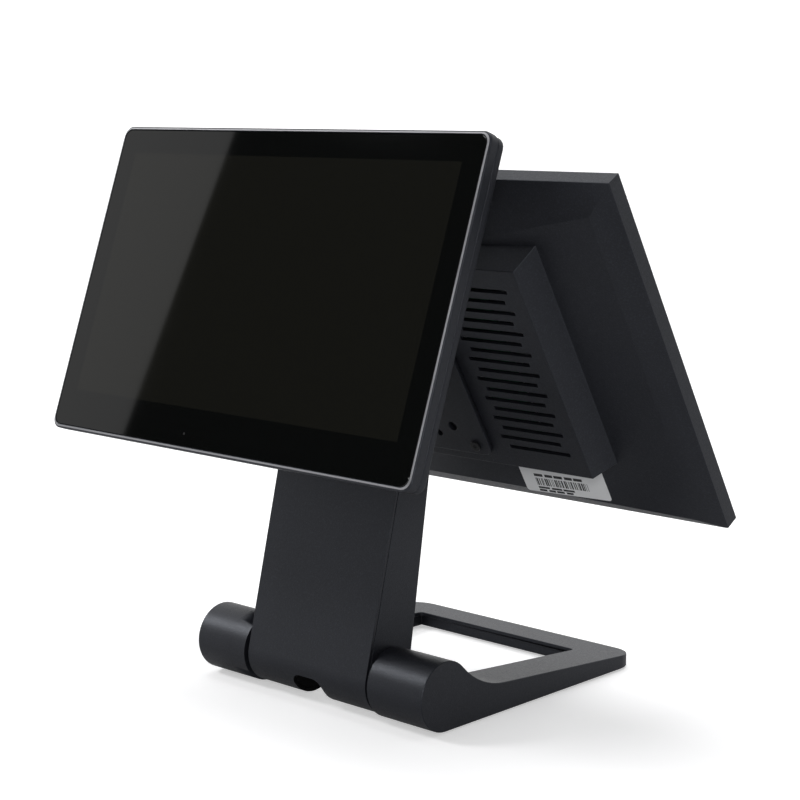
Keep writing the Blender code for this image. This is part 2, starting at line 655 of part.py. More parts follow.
def build_screen_stack(tilt, steel, glass, panel, rubber):
    """Carrier sheet, panel, gasket and touch glass, from the inside out."""
    side, top = MAIN_HALF_WIDTH - STACK_INSET, MAIN_TOP_Z - STACK_INSET
    bottom = MAIN_BOTTOM_Z + STACK_BOTTOM_INSET
    sheet = rectangle(-side, side, bottom, top)
    y = CAVITY_REAR_Y + GAP
    carrier = add("panel_carrier", extrude(sheet, "Y", y, y + CARRIER_THICKNESS), steel, tilt)
    window = rounded_rectangle(*CARRIER_WINDOW, CARRIER_WINDOW_RADIUS)
    cut(carrier, extrude(window, "Y", y - OVER, y + CARRIER_THICKNESS + OVER))
    y += CARRIER_THICKNESS + GAP
    width, height, depth = MAIN_PANEL
    low = (MAIN_TOP_Z + MAIN_BOTTOM_Z - height) / 2
    picture = rectangle(-width / 2, width / 2, low, low + height)
    add("main_lcd_panel", extrude(picture, "Y", y, y + depth), panel, tilt)
    gasket = add("glass_gasket", extrude(sheet, "Y", y, y + depth), rubber, tilt)
    around = rectangle(-width / 2 - GAP, width / 2 + GAP, low - GAP, low + height + GAP)
    cut(gasket, extrude(around, "Y", y - OVER, y + depth + OVER))
    y += depth + GAP
    inset = RIM_WALL + GAP
    outline = rounded_rectangle(-MAIN_HALF_WIDTH + inset, MAIN_HALF_WIDTH - inset,
                                MAIN_BOTTOM_Z + inset, MAIN_TOP_Z - inset, GLASS_CORNER_RADIUS, 2)
    add("main_touch_glass", extrude(outline, "Y", y, RIM_FRONT_Y - GLASS_SETBACK), glass, tilt)


def build_port(name, spec, tilt, steel):
    """A connector whose mouth is in the box's bottom wall."""
    x, y, width, height, depth, kind = spec
    place = pivot_child(name + "_place", tilt, (x, y, BOX_BOTTOM_Z + PORT_RECESS))
    port = add(name, block(-width / 2, width / 2, -height / 2, height / 2, 0.0, depth), steel,
               place)
    half_width, half_height = width / 2 - PORT_WALL, height / 2 - PORT_WALL
    mouth = depth * PORT_MOUTH_SHARE
    if kind == "tongue":
        low, high = PORT_TONGUE_Y
        cut(port, block(-half_width, half_width, -half_height, low, -OVER, mouth))
        cut(port, block(-half_width, half_width, high, half_height, -OVER, mouth))
    elif kind == "recess":
        cut(port, block(PORT_WALL - half_width, half_width - PORT_WALL, PORT_WALL - half_height,
                        half_height - PORT_WALL, -OVER, PORT_RECESS_DEPTH))
    else:
        cut(port, extrude(circle((0.0, 0.0), INLET_RADIUS, 16), "Z", -OVER, mouth))
        join(port, extrude(circle((0.0, 0.0), INLET_PIN_RADIUS, 10), "Z", INLET_PIN_START,
                           depth * INLET_PIN_SHARE))


def heatsink_outline(width, base, height, fins):
    """Cross-section of a finned heatsink."""
    pitch = width / (fins - 0.5)
    points = [(-width / 2, 0.0), (width / 2, 0.0)]
    for index in range(fins):
        right = width / 2 - index * pitch
        points += [(right, height), (right - pitch / 2, height)]
        if index < fins - 1:
            points += [(right - pitch / 2, base), (right - pitch, base)]
    return points


def build_electronics(tilt, board, steel, aluminium, plastic):
    """What the box on the back holds."""
    left, right, low, high = BOARD
    add("mainboard", block(left, right, BOARD_Y, BOARD_Y + BOARD_THICKNESS, low, high), board,
        tilt)
    finish = {"cpu": plastic, "memory_module": board, "wireless_card": board}
    for name, (left, right, low, high, height) in BOARD_PLATES.items():
        add(name, block(left, right, BOARD_Y - height, BOARD_Y - GAP, low, high), finish[name],
            tilt)
    left, right, _low, _high, height = BOARD_PLATES["cpu"]
    fins = [(x, -y) for x, y in heatsink_outline(HEATSINK_WIDTH, HEATSINK_BASE, HEATSINK_HEIGHT,
                                                 HEATSINK_FINS)]
    place = pivot_child("heatsink_place", tilt, ((left + right) / 2, BOARD_Y - height - GAP, 0.0))
    add("cpu_heatsink", extrude(fins, "Z", -HEATSINK_WIDTH / 2, HEATSINK_WIDTH / 2), aluminium,
        place)
    add("ssd_drive", block(*DRIVE), aluminium, tilt)
    near, far = SPEAKER_X
    for side, sign in (("left", -1), ("right", 1)):
        speaker = add(f"speaker_{side}", block(*sorted((sign * near, sign * far)), *SPEAKER_Y,
                                               *SPEAKER_Z), plastic, tilt)
        middle = (sign * (near + far) / 2, sum(SPEAKER_Z) / 2)
        cut(speaker, extrude(circle(middle, CONE_RADIUS, 16), "Y", SPEAKER_Y[0] - OVER,
                             SPEAKER_Y[0] + CONE_DEPTH))
        smooth(speaker)


def build_label(tilt, paper):
    """The rating label on the sloping plane below the box."""
    middle, half = sum(LABEL_X) / 2, (LABEL_X[1] - LABEL_X[0]) / 2
    half_height = (LABEL_Z[1] - LABEL_Z[0]) / 2
    place = pivot_child("label_place", tilt, (middle, side_plane_y(middle), sum(LABEL_Z) / 2))
    place.rotation_euler = (0.0, 0.0, atan(SIDE_PLANE_SLOPE))
    outline = rounded_rectangle(-half, half, -half_height, half_height, LABEL_CORNER_RADIUS, 3)
    add("rating_label", extrude(outline, "Y", -GAP - LABEL_THICKNESS, -GAP), paper, place)


def screw(name, parent, x, z, head_y, direction, length, steel):
    """A pan-head screw along Y, its thread towards the given direction."""
    place = pivot_child(name + "_place", parent, (x, head_y, z))
    body = add(name, extrude(circle((0.0, 0.0), SCREW_RADIUS, 12), "Y",
                             *sorted((0.0, direction * length))), steel, place)
    top = -direction * SCREW_HEAD_HEIGHT
    join(body, extrude(circle((0.0, 0.0), SCREW_HEAD_RADIUS, 16), "Y",
                       *sorted((top, direction * SCREW_HEAD_LAP))))
    cut(body, extrude(circle((0.0, 0.0), SCREW_SOCKET_RADIUS, 6), "Y",
                      *sorted((top - direction * OVER, top * (1 - SCREW_SOCKET_SHARE)))))
    smooth(body)


def four_corners(half):
    """Corners of a hole square, clockwise from the upper right."""
    return [(x * half, z * half) for x, z in ((1, 1), (1, -1), (-1, -1), (-1, 1))]


def build_mounting_plate(tilt, paint, screws):
    """The plate with both hole squares on the box's front, and its screws."""
    rear = BOX_FRONT_Y - GAP
    front = rear - PLATE_THICKNESS
    outline = rounded_rectangle(-PLATE_HALF_WIDTH, PLATE_HALF_WIDTH, -PLATE_HALF_HEIGHT,
                                PLATE_HALF_HEIGHT, PLATE_CORNER_RADIUS)
    plate = add("mounting_plate", extrude(outline, "Y", front, rear), paint, tilt)
    holes = [(spot, SCREW_HOLE_RADIUS) for spot in four_corners(VESA_LARGE)]
    holes += [(spot, VESA_SMALL_RADIUS) for spot in four_corners(VESA_SMALL)]
    holes += [((sign * SPARE_HOLE_X, SPARE_HOLE_Z), SPARE_HOLE_RADIUS) for sign in (-1, 1)]
    for spot, radius in holes:
        cut(plate, extrude(circle(spot, radius, 12), "Y", front - OVER, rear + OVER))
    smooth(plate)
    for index, (x, z) in enumerate(four_corners(VESA_LARGE), 1):
        screw(f"mounting_screw_{index}", tilt, x, z, front - GAP, 1, MOUNTING_SCREW_LENGTH, screws)
    return front - GAP


def build_tilt_knuckle(tilt, base, paint, steel):
    """The knuckle on the plate that turns in the column's head, and its pin."""
    root = (base - KNUCKLE_FLANGE_THICKNESS, 0.0)
    knuckle = add("tilt_knuckle", extrude(capsule((0.0, 0.0), KNUCKLE_RADIUS, root,
                                                  KNUCKLE_RADIUS), "X",
                                          -KNUCKLE_HALF_WIDTH, KNUCKLE_HALF_WIDTH), paint, tilt)
    join(knuckle, block(-KNUCKLE_FLANGE_HALF_WIDTH, KNUCKLE_FLANGE_HALF_WIDTH,
                        base - KNUCKLE_FLANGE_THICKNESS, base + OVER,
                        -KNUCKLE_FLANGE_HALF_HEIGHT, KNUCKLE_FLANGE_HALF_HEIGHT))
    cut(knuckle, block(-FAR, FAR, base, base + FAR, -FAR, FAR))
    cut(knuckle, extrude(circle((0.0, 0.0), TILT_PIN_RADIUS + GAP, 16), "X", -FAR, FAR))
    smooth(knuckle)
    smooth(add("tilt_pin", extrude(circle((0.0, 0.0), TILT_PIN_RADIUS, 16), "X",
                                   -TILT_PIN_HALF_LENGTH, TILT_PIN_HALF_LENGTH), steel, tilt))


def build_display_arm(tilt, display_pivot, base, paint):
    """The arm from the mounting plate up to the customer display's hinge."""
    local = tilt.matrix_world.inverted() @ display_pivot
    hinge = (local.y, local.z)
    root = (base - ARM_ROOT_RADIUS, ARM_ROOT_Z)
    arm = add("display_arm", extrude(capsule(root, ARM_ROOT_RADIUS, hinge,
                                             DISPLAY_KNUCKLE_RADIUS), "X",
                                     -ARM_HALF_WIDTH, ARM_HALF_WIDTH), paint, tilt)
    join(arm, block(-ARM_FLANGE_HALF_WIDTH, ARM_FLANGE_HALF_WIDTH, base - ARM_ROOT_RADIUS,
                    base + OVER, *ARM_FLANGE_Z))
    cut(arm, block(-FAR, FAR, base, base + FAR, 0.0, FAR))
    cut(arm, extrude(circle(hinge, DISPLAY_PIN_RADIUS + GAP, 16), "X", -FAR, FAR))
    smooth(arm)


def build_main_unit(tilt, display_pivot, finish):
    build_rear_cover(tilt, finish["shell"])
    build_screen_stack(tilt, finish["steel"], finish["glass"], finish["panel"], finish["rubber"])
    build_electronics(tilt, finish["board"], finish["steel"], finish["aluminium"],
                      finish["plastic"])
    for name, spec in PORTS.items():
        build_port(name, spec, tilt, finish["steel"])
    build_label(tilt, finish["paper"])
    build_button(tilt, finish["plastic"], finish["steel"])
    base = build_mounting_plate(tilt, finish["paint"], finish["oxide"])
    build_tilt_knuckle(tilt, base, finish["paint"], finish["steel"])
    build_display_arm(tilt, display_pivot, base, finish["paint"])


# -------------------------------------------------------- customer display

def display_outline(inset, radius):
    return rounded_rectangle(-DISPLAY_HALF_WIDTH + inset, DISPLAY_HALF_WIDTH - inset,
                             DISPLAY_BOTTOM_Z + inset, DISPLAY_TOP_Z - inset, radius, 5)


def build_display_front(turn, finish):
    """Front frame with its ledge, the glass on it and the panel behind it."""
    front = DISPLAY_FRONT_Y
    ledge = front + DISPLAY_LEDGE
    width, height, depth = DISPLAY_PANEL
    low = DISPLAY_SCREEN_Z - height / 2
    rim = DISPLAY_WINDOW_GAP
    frame = add("display_front_frame",
                extrude(display_outline(0.0, DISPLAY_CORNER_RADIUS), "Y", front,
                        front + DISPLAY_FRAME_DEPTH), finish["anodised"], turn)
    cut(frame, extrude(display_outline(DISPLAY_LIP, DISPLAY_LIP_RADIUS), "Y", front - OVER, ledge))
    window = rectangle(-width / 2 - rim, width / 2 + rim, low - rim, low + height + rim)
    cut(frame, extrude(window, "Y", front, front + FAR))
    smooth(frame)
    smooth(add("display_glass", extrude(display_outline(DISPLAY_LIP + GAP, DISPLAY_GLASS_RADIUS),
                                        "Y", front + DISPLAY_GLASS_SETBACK, ledge - GAP),
               finish["glass"], turn))
    picture = rectangle(-width / 2, width / 2, low, low + height)
    add("display_lcd_panel", extrude(picture, "Y", ledge, ledge + depth), finish["panel"], turn)


def build_display_back(turn, finish):
    """Rear cover and the board behind the panel."""
    seam = DISPLAY_FRONT_Y + DISPLAY_FRAME_DEPTH + DISPLAY_SEAM
    rear = DISPLAY_FRONT_Y + DISPLAY_DEPTH
    cover = add("display_rear_cover",
                extrude(display_outline(DISPLAY_COVER_INSET, DISPLAY_CORNER_RADIUS), "Y", seam,
                        rear), finish["shell"], turn)
    cut(cover, extrude(display_outline(DISPLAY_COVER_WALL, DISPLAY_COVER_RADIUS), "Y",
                       seam - OVER, seam + DISPLAY_COVER_HOLLOW))
    for spot in four_corners(VESA_SMALL):
        cut(cover, extrude(circle(spot, SCREW_HOLE_RADIUS, 12), "Y", seam, rear + OVER))
    smooth(cover)
    board_y = DISPLAY_FRONT_Y + DISPLAY_LEDGE + DISPLAY_PANEL[2] + GAP
    left, right, low, high = DISPLAY_BOARD
    add("display_board", block(left, right, board_y, seam + DISPLAY_BOARD_REACH, low, high),
        finish["board"], turn)


def build_display_hinge(turn, finish):
    """Hinge plate with two lugs on the display's back, its screws and the pin."""
    near = DISPLAY_FRONT_Y + DISPLAY_DEPTH + GAP
    far = near + HINGE_PLATE_THICKNESS
    half = HINGE_PLATE_HALF
    plate = add("display_hinge_plate",
                extrude(rounded_rectangle(-half, half, -half, half, HINGE_PLATE_RADIUS), "Y",
                        near, far), finish["paint"], turn)
    lug = capsule((near + LUG_ROOT, 0.0), LUG_ROOT_RADIUS, (0.0, 0.0), DISPLAY_KNUCKLE_RADIUS)
    for side in (-1, 1):
        inner = ARM_HALF_WIDTH + GAP
        low, high = sorted((side * inner, side * (ARM_HALF_WIDTH + LUG_WIDTH)))
        join(plate, extrude(lug, "X", low, high))
    cut(plate, extrude(circle((0.0, 0.0), DISPLAY_PIN_RADIUS + GAP, 16), "X", -FAR, FAR))
    for spot in four_corners(VESA_SMALL):
        cut(plate, extrude(circle(spot, SCREW_HOLE_RADIUS, 12), "Y", near - OVER, far + OVER))
    smooth(plate)
    for index, (x, z) in enumerate(four_corners(VESA_SMALL), 1):
        screw(f"display_screw_{index}", turn, x, z, far + GAP, -1, DISPLAY_SCREW_LENGTH,
              finish["oxide"])
    smooth(add("display_hinge_pin", extrude(circle((0.0, 0.0), DISPLAY_PIN_RADIUS, 16), "X",
                                            -DISPLAY_PIN_HALF_LENGTH, DISPLAY_PIN_HALF_LENGTH),
               finish["steel"], turn))


def build_display(turn, finish):
    build_display_front(turn, finish)
    build_display_back(turn, finish)
    build_display_hinge(turn, finish)


# -------------------------------------------------------------------- main

def finishes():
    return {
        "paint": material("charcoal_paint", (0.035, 0.036, 0.040), 0.45),
        "shell": material("charcoal_plastic", (0.035, 0.036, 0.040), 0.50),
        "plastic": material("black_plastic", (0.020, 0.020, 0.022), 0.50),
        "steel": material("steel", (0.45, 0.45, 0.46), 0.35, 1.0),
        "oxide": material("black_oxide", (0.030, 0.030, 0.032), 0.40),
        "aluminium": material("aluminium", (0.60, 0.61, 0.63), 0.30, 1.0),
        "anodised": material("dark_aluminium", (0.045, 0.046, 0.050), 0.40, 0.6),
        "glass": material("black_glass", (0.006, 0.007, 0.007), 0.06),
        "panel": material("lcd_panel", (0.015, 0.015, 0.014), 0.20),
        "rubber": material("rubber", (0.018, 0.018, 0.018), 0.80),
        "board": material("circuit_board", (0.020, 0.080, 0.040), 0.50),
        "paper": material("label_paper", (0.62, 0.63, 0.63), 0.55),
    }


def main():
    for obj in list(bpy.data.objects):
        bpy.data.objects.remove(obj, do_unlink=True)
    finish = finishes()
    build_base(finish["paint"], finish["steel"], finish["rubber"])
    column = pivot("column_turn", Vector((0.0, BARREL_AXIS_Y, BARREL_AXIS_Z)), -COLUMN_LEAN)
    build_column(column, finish["paint"], finish["steel"])
    head = column.matrix_world @ Vector((0.0, *head_center()))
    tilt = pivot("main_tilt", head, MAIN_LEAN)
    build_main_unit(tilt, DISPLAY_PIVOT, finish)
    display = pivot("display_turn", DISPLAY_PIVOT, -DISPLAY_LEAN)
    build_display(display, finish)


main()
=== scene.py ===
"""Looks of the point-of-sale terminal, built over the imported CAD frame."""
import json
from math import cos, pi, radians, sin

import bmesh
import bpy
from mathutils import Matrix, Vector


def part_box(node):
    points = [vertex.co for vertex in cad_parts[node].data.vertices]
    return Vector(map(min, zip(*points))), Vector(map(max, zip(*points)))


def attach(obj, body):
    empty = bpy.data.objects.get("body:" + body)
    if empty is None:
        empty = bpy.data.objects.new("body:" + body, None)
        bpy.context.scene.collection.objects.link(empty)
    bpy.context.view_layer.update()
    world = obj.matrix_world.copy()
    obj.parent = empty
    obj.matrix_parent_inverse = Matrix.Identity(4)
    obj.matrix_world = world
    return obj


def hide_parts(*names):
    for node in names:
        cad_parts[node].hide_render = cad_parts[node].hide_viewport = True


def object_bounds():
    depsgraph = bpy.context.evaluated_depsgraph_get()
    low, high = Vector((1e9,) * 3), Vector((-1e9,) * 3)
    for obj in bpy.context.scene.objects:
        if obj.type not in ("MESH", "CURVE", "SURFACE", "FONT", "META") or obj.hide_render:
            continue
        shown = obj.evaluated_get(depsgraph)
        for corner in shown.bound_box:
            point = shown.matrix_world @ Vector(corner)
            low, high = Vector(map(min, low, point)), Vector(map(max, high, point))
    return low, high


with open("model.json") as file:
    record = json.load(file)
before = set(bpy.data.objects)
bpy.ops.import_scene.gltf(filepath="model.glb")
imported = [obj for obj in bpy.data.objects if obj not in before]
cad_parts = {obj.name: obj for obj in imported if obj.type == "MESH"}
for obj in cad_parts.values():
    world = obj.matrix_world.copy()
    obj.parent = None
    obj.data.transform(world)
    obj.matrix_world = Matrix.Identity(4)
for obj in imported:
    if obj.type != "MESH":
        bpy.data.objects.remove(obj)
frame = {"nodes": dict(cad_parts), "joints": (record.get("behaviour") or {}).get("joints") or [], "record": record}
NODES = frame["nodes"]
RECORD = frame["record"]
PIVOT = {joint["child"]: Vector(joint["pos_m"]) for joint in frame["joints"] if "pos_m" in joint}
BODY_OF = {node: body for body, members in RECORD["behaviour"]["bodies"].items() for node in members}
SLOT_OF = {part["node"]: part["material_slot"] for part in RECORD["subparts"]}
CAD_BOX = [list(corner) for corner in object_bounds()]
SCENE = bpy.context.scene
SCENE.view_settings.view_transform = "Standard"


# ------------------------------------------------------------------ the camera

CAMERA_PLACE = (0.7523, -0.7883, 0.3407)
CAMERA_AZIMUTH = radians(43.10)
CAMERA_PITCH = radians(8.86)
CAMERA_LENS = 84.74

camera_data = bpy.data.cameras.new("camera")
camera_data.lens = CAMERA_LENS
camera_data.sensor_width = 36.0
camera = bpy.data.objects.new("camera", camera_data)
SCENE.collection.objects.link(camera)
camera.location = CAMERA_PLACE
camera.rotation_euler = (pi / 2 - CAMERA_PITCH, 0.0, CAMERA_AZIMUTH)
SCENE.camera = camera


# ---------------------------------------------------------------- node helpers

def new_material(name, color, roughness, metallic=0.0, **sockets):
    """A material with its Principled shader; plain values only."""
    mat = bpy.data.materials.new(name)
    mat.use_nodes = True
    shader = mat.node_tree.nodes["Principled BSDF"]
    shader.inputs["Base Color"].default_value = (*color, 1.0)
    shader.inputs["Roughness"].default_value = roughness
    shader.inputs["Metallic"].default_value = metallic
    for socket, value in sockets.items():
        shader.inputs[socket.replace("_", " ")].default_value = value
    return mat


def tinted(color, factor):
    """A colour made lighter or darker, within range."""
    return tuple(min(1.0, channel * factor) for channel in color)


class Graph:
    """Short calls for a material's nodes, on the piece's own coordinates in metres."""

    def __init__(self, mat):
        self.tree = mat.node_tree
        self.shader = self.tree.nodes["Principled BSDF"]
        self.place = self.node("TexCoord").outputs["Object"]

    def node(self, kind, **settings):
        made = self.tree.nodes.new("ShaderNode" + kind)
        for key, value in settings.items():
            setattr(made, key, value)
        return made

    def put(self, socket, value):
        if isinstance(value, bpy.types.NodeSocket):
            self.tree.links.new(value, socket)
        elif isinstance(value, tuple) and len(value) == 3 and len(socket.default_value) == 4:
            socket.default_value = (*value, 1.0)
        else:
            socket.default_value = value

    def axes(self):
        split = self.node("SeparateXYZ")
        self.put(split.inputs[0], self.place)
        return split.outputs

    def math(self, operation, a, b=0.0):
        made = self.node("Math", operation=operation)
        self.put(made.inputs[0], a)
        self.put(made.inputs[1], b)
        return made.outputs[0]

    def noise(self, scale, detail=2.0, rough=0.5, stretch=None):
        made = self.node("TexNoise")
        made.inputs["Scale"].default_value = scale
        made.inputs["Detail"].default_value = detail
        made.inputs["Roughness"].default_value = rough
        vector = self.place
        if stretch:
            mapping = self.node("Mapping")
            self.put(mapping.inputs["Vector"], vector)
            mapping.inputs["Scale"].default_value = stretch
            vector = mapping.outputs["Vector"]
        self.put(made.inputs["Vector"], vector)
        return made.outputs["Fac"]

    def span(self, value, low, high, to_low, to_high):
        made = self.node("MapRange")
        for socket, number in zip(list(made.inputs)[1:5], (low, high, to_low, to_high)):
            socket.default_value = number
        self.put(made.inputs[0], value)
        return made.outputs[0]

    def mix(self, factor, a, b):
        made = self.node("Mix", data_type="RGBA")
        self.put(made.inputs[0], factor)
        self.put(made.inputs[6], a)
        self.put(made.inputs[7], b)
        return made.outputs[2]

    def bump(self, height, strength, distance):
        made = self.node("Bump")
        made.inputs["Strength"].default_value = strength
        made.inputs["Distance"].default_value = distance
        self.put(made.inputs["Height"], height)
        self.set("Normal", made.outputs["Normal"])

    def set(self, socket, value):
        self.put(self.shader.inputs[socket], value)


# ------------------------------------------------------------------- materials

def powder_coat(name, color, roughness, grain):
    """Satin charcoal coat: very fine grain, faint mottling, slightly uneven gloss."""
    mat = new_material(name, color, roughness, Specular_IOR_Level=0.54,
                       Specular_Tint=(0.84, 0.89, 1.0, 1.0))
    g = Graph(mat)
    mottling = g.span(g.noise(18.0, 3.0), 0.35, 0.65, 0.0, 1.0)
    tone = g.mix(mottling, tinted(color, 0.90), tinted(color, 1.10))
    speckle = g.span(g.noise(1000.0, 2.0), 0.50, 0.70, 0.0, 0.75 * grain)
    g.set("Base Color", g.mix(speckle, tone, tinted(color, 2.2)))
    g.set("Roughness", g.span(g.noise(700.0, 4.0), 0.3, 0.7, roughness - 0.05, roughness + 0.05))
    g.bump(g.noise(1300.0, 3.0, 0.7), 0.50 * grain, 0.0002)
    return mat


BORDER_TONE = (0.0034, 0.0037, 0.0036)
ACTIVE_TONE = (0.0082, 0.0082, 0.0068)
MARK_TONE = (0.035, 0.035, 0.035)
PRINT_BLUR = 0.0002       # half the width over which one tone of the glass runs into the next


def screen_glass(name, half_width, low, high, mark=None):
    """Black-backed touch glass: the picture area is a shade lighter than the black print round it."""
    roughness = 0.030
    mat = new_material(name, BORDER_TONE, roughness, Specular_IOR_Level=0.43)
    g = Graph(mat)
    x, _, z = g.axes()
    across = g.span(g.math("ABSOLUTE", x), half_width - PRINT_BLUR, half_width + PRINT_BLUR, 1.0, 0.0)
    above = g.span(z, low - PRINT_BLUR, low + PRINT_BLUR, 0.0, 1.0)
    below = g.span(z, high - PRINT_BLUR, high + PRINT_BLUR, 1.0, 0.0)
    inside = g.math("MULTIPLY", g.math("MULTIPLY", across, above), below)
    tone = g.mix(inside, BORDER_TONE, ACTIVE_TONE)
    if mark:
        mark_x, mark_z, radius = mark
        away = g.math("POWER", g.math("SUBTRACT", x, mark_x), 2.0)
        away = g.math("ADD", away, g.math("POWER", g.math("SUBTRACT", z, mark_z), 2.0))
        away = g.math("POWER", away, 0.5)
        tone = g.mix(g.span(away, radius - PRINT_BLUR, radius + PRINT_BLUR, 1.0, 0.0), tone, MARK_TONE)
    g.set("Base Color", tone)
    g.set("Roughness", g.span(g.noise(9.0, 4.0, 0.6), 0.45, 0.75, roughness, roughness + 0.015))
    return mat


def brushed(name, color, roughness, stretch, metallic=1.0):
    """Metal with fine lines; the stretch is small along the lines."""
    mat = new_material(name, color, roughness, metallic)
    g = Graph(mat)
    lines = g.noise(1.0, 3.0, 0.6, stretch)
    g.set("Roughness", g.span(lines, 0.3, 0.7, roughness - 0.06, roughness + 0.08))
    g.set("Base Color", g.mix(lines, tinted(color, 0.88), tinted(color, 1.08)))
    g.bump(lines, 0.06, 0.0001)
    return mat


def grained(name, color, roughness, scale, contrast, strength, **sockets):
    """Rubber, moulded plastic, oxide and paper: a little grain in colour, gloss and height."""
    mat = new_material(name, color, roughness, **sockets)
    g = Graph(mat)
    grain = g.noise(scale, 3.0)
    g.set("Base Color", g.mix(grain, tinted(color, 1 - contrast), tinted(color, 1 + contrast)))
    g.set("Roughness", g.span(g.noise(scale / 8, 2.0), 0.3, 0.7, roughness - 0.04, roughness + 0.04))
    g.bump(grain, strength, 0.0002)
    return mat


def solder_mask(name):
    """Green board lacquer over slightly raised, lighter tracks."""
    color = (0.012, 0.070, 0.034)
    mat = new_material(name, color, 0.40)
    g = Graph(mat)
    x, _, z = g.axes()
    bent_x = g.math("ADD", x, g.math("MULTIPLY", g.noise(60.0, 0.0), 0.006))
    bent_z = g.math("ADD", z, g.math("MULTIPLY", g.noise(45.0, 0.0), 0.008))
    tracks = g.span(g.math("PINGPONG", bent_x, 0.0011), 0.0004, 0.0006, 0.0, 1.0)
    rungs = g.span(g.math("PINGPONG", bent_z, 0.0014), 0.0003, 0.0005, 0.4, 1.0)
    lines = g.math("MULTIPLY", tracks, rungs)
    g.set("Base Color", g.mix(lines, tinted(color, 1.7), color))
    g.bump(lines, 0.15, 0.0001)
    return mat


CHARCOAL = (0.0076, 0.0080, 0.0106)

paint = powder_coat("charcoal_paint", CHARCOAL, 0.42, 1.0)
shell = powder_coat("charcoal_shell", tinted(CHARCOAL, 0.96), 0.44, 1.2)
anodised = powder_coat("charcoal_anodised", tinted(CHARCOAL, 1.15), 0.40, 0.6)
chamfer = brushed("bright_chamfer", (0.40, 0.40, 0.42), 0.34, (60.0, 60.0, 60.0), 0.55)
steel = brushed("steel", (0.42, 0.42, 0.43), 0.38, (6.0, 900.0, 900.0))
aluminium = brushed("aluminium", (0.60, 0.61, 0.63), 0.30, (900.0, 900.0, 6.0))
oxide = grained("black_oxide", (0.012, 0.012, 0.013), 0.36, 900.0, 0.15, 0.05)
gold = brushed("gold_contact", (0.83, 0.60, 0.25), 0.25, (900.0, 900.0, 30.0))
rubber = grained("rubber", (0.016, 0.016, 0.016), 0.82, 700.0, 0.20, 0.20)
plastic = grained("black_plastic", (0.014, 0.014, 0.015), 0.48, 1200.0, 0.15, 0.12)
board = solder_mask("circuit_board")
# Painted shade: a near-black, dull colour for the cable passage's inner walls, standing for the shade inside it.
passage_shade = grained("painted_passage_shade", (0.0025, 0.0025, 0.0028), 0.90, 900.0, 0.20, 0.10,
                 Specular_IOR_Level=0.1)
paper = grained("label_paper", (0.78, 0.79, 0.80), 0.50, 500.0, 0.02, 0.02)
ink = grained("label_ink", (0.020, 0.020, 0.022), 0.55, 800.0, 0.20, 0.02)
panel = grained("screen_panel", (0.012, 0.012, 0.012), 0.25, 900.0, 0.05, 0.02)

FINISH = {"charcoal_paint": paint, "charcoal_plastic": shell, "steel": steel, "aluminium": aluminium,
          "rubber": rubber, "black_plastic": plastic, "circuit_board": board, "label_paper": paper,
          "black_glass": panel, "lcd_panel": panel, "dark_aluminium": anodised, "black_oxide": oxide}
for node, slot in SLOT_OF.items():
    NODES[node].data.materials.clear()
    NODES[node].data.materials.append(FINISH[slot])


# --------------------------------------------------------- making of the pieces

SHARP_ANGLE = 30.0        # edges sharper than this, in degrees, are rounded
SHALLOW_FOLD = 4.0        # folds sharper than this, in degrees, stay crisp between broad faces
BROAD_FACE = 0.0015       # a face wider than this is not part of a rounded edge
CAST_EDGE = 0.0005        # widths of the rounded edges, by how a piece is made
BOX_EDGE = 0.00015
MOULDED_EDGE = 0.0004
SOFT_EDGE = 0.0008
HINGE_EDGE = 0.0006
SMALL_EDGE = 0.0002
PORT_EDGE = 0.0001


def cad_mesh(name):
    """A welded copy of a CAD node's mesh, its flat faces whole again."""
    shape = bmesh.new()
    shape.from_mesh(NODES[name].data)
    bmesh.ops.remove_doubles(shape, verts=shape.verts, dist=1e-6)
    bmesh.ops.dissolve_limit(shape, angle_limit=radians(0.6), verts=shape.verts,
                             edges=shape.edges, delimit={"NORMAL"})
    return shape


def soften_edges(shape, keep):
    """Marks the sharp edges that get a small round, except those that keep() names."""
    layer = shape.edges.layers.float.get("bevel_weight_edge")
    layer = layer or shape.edges.layers.float.new("bevel_weight_edge")
    for edge in shape.edges:
        if len(edge.link_faces) != 2 or edge.calc_face_angle(0.0) < radians(SHARP_ANGLE):
            continue
        if keep and keep((edge.verts[0].co + edge.verts[1].co) / 2):
            continue
        edge[layer] = 1.0


def bake(piece):
    """Applies the piece's modifiers to its own mesh."""
    graph = bpy.context.evaluated_depsgraph_get()
    mesh = bpy.data.meshes.new_from_object(piece.evaluated_get(graph))
    old = piece.data
    piece.modifiers.clear()
    piece.data = mesh
    mesh.name = piece.name
    bpy.data.meshes.remove(old)


def keep_folds(mesh):
    """Shallow folds between two broad faces stay crisp instead of being shaded round."""
    shape = bmesh.new()
    shape.from_mesh(mesh)
    broad = [2 * face.calc_area() / face.calc_perimeter() > BROAD_FACE for face in shape.faces]
    for edge in shape.edges:
        bent = edge.calc_face_angle(0.0) > radians(SHALLOW_FOLD)
        if bent and all(broad[face.index] for face in edge.link_faces):
            edge.smooth = False
    shape.to_mesh(mesh)
    shape.free()


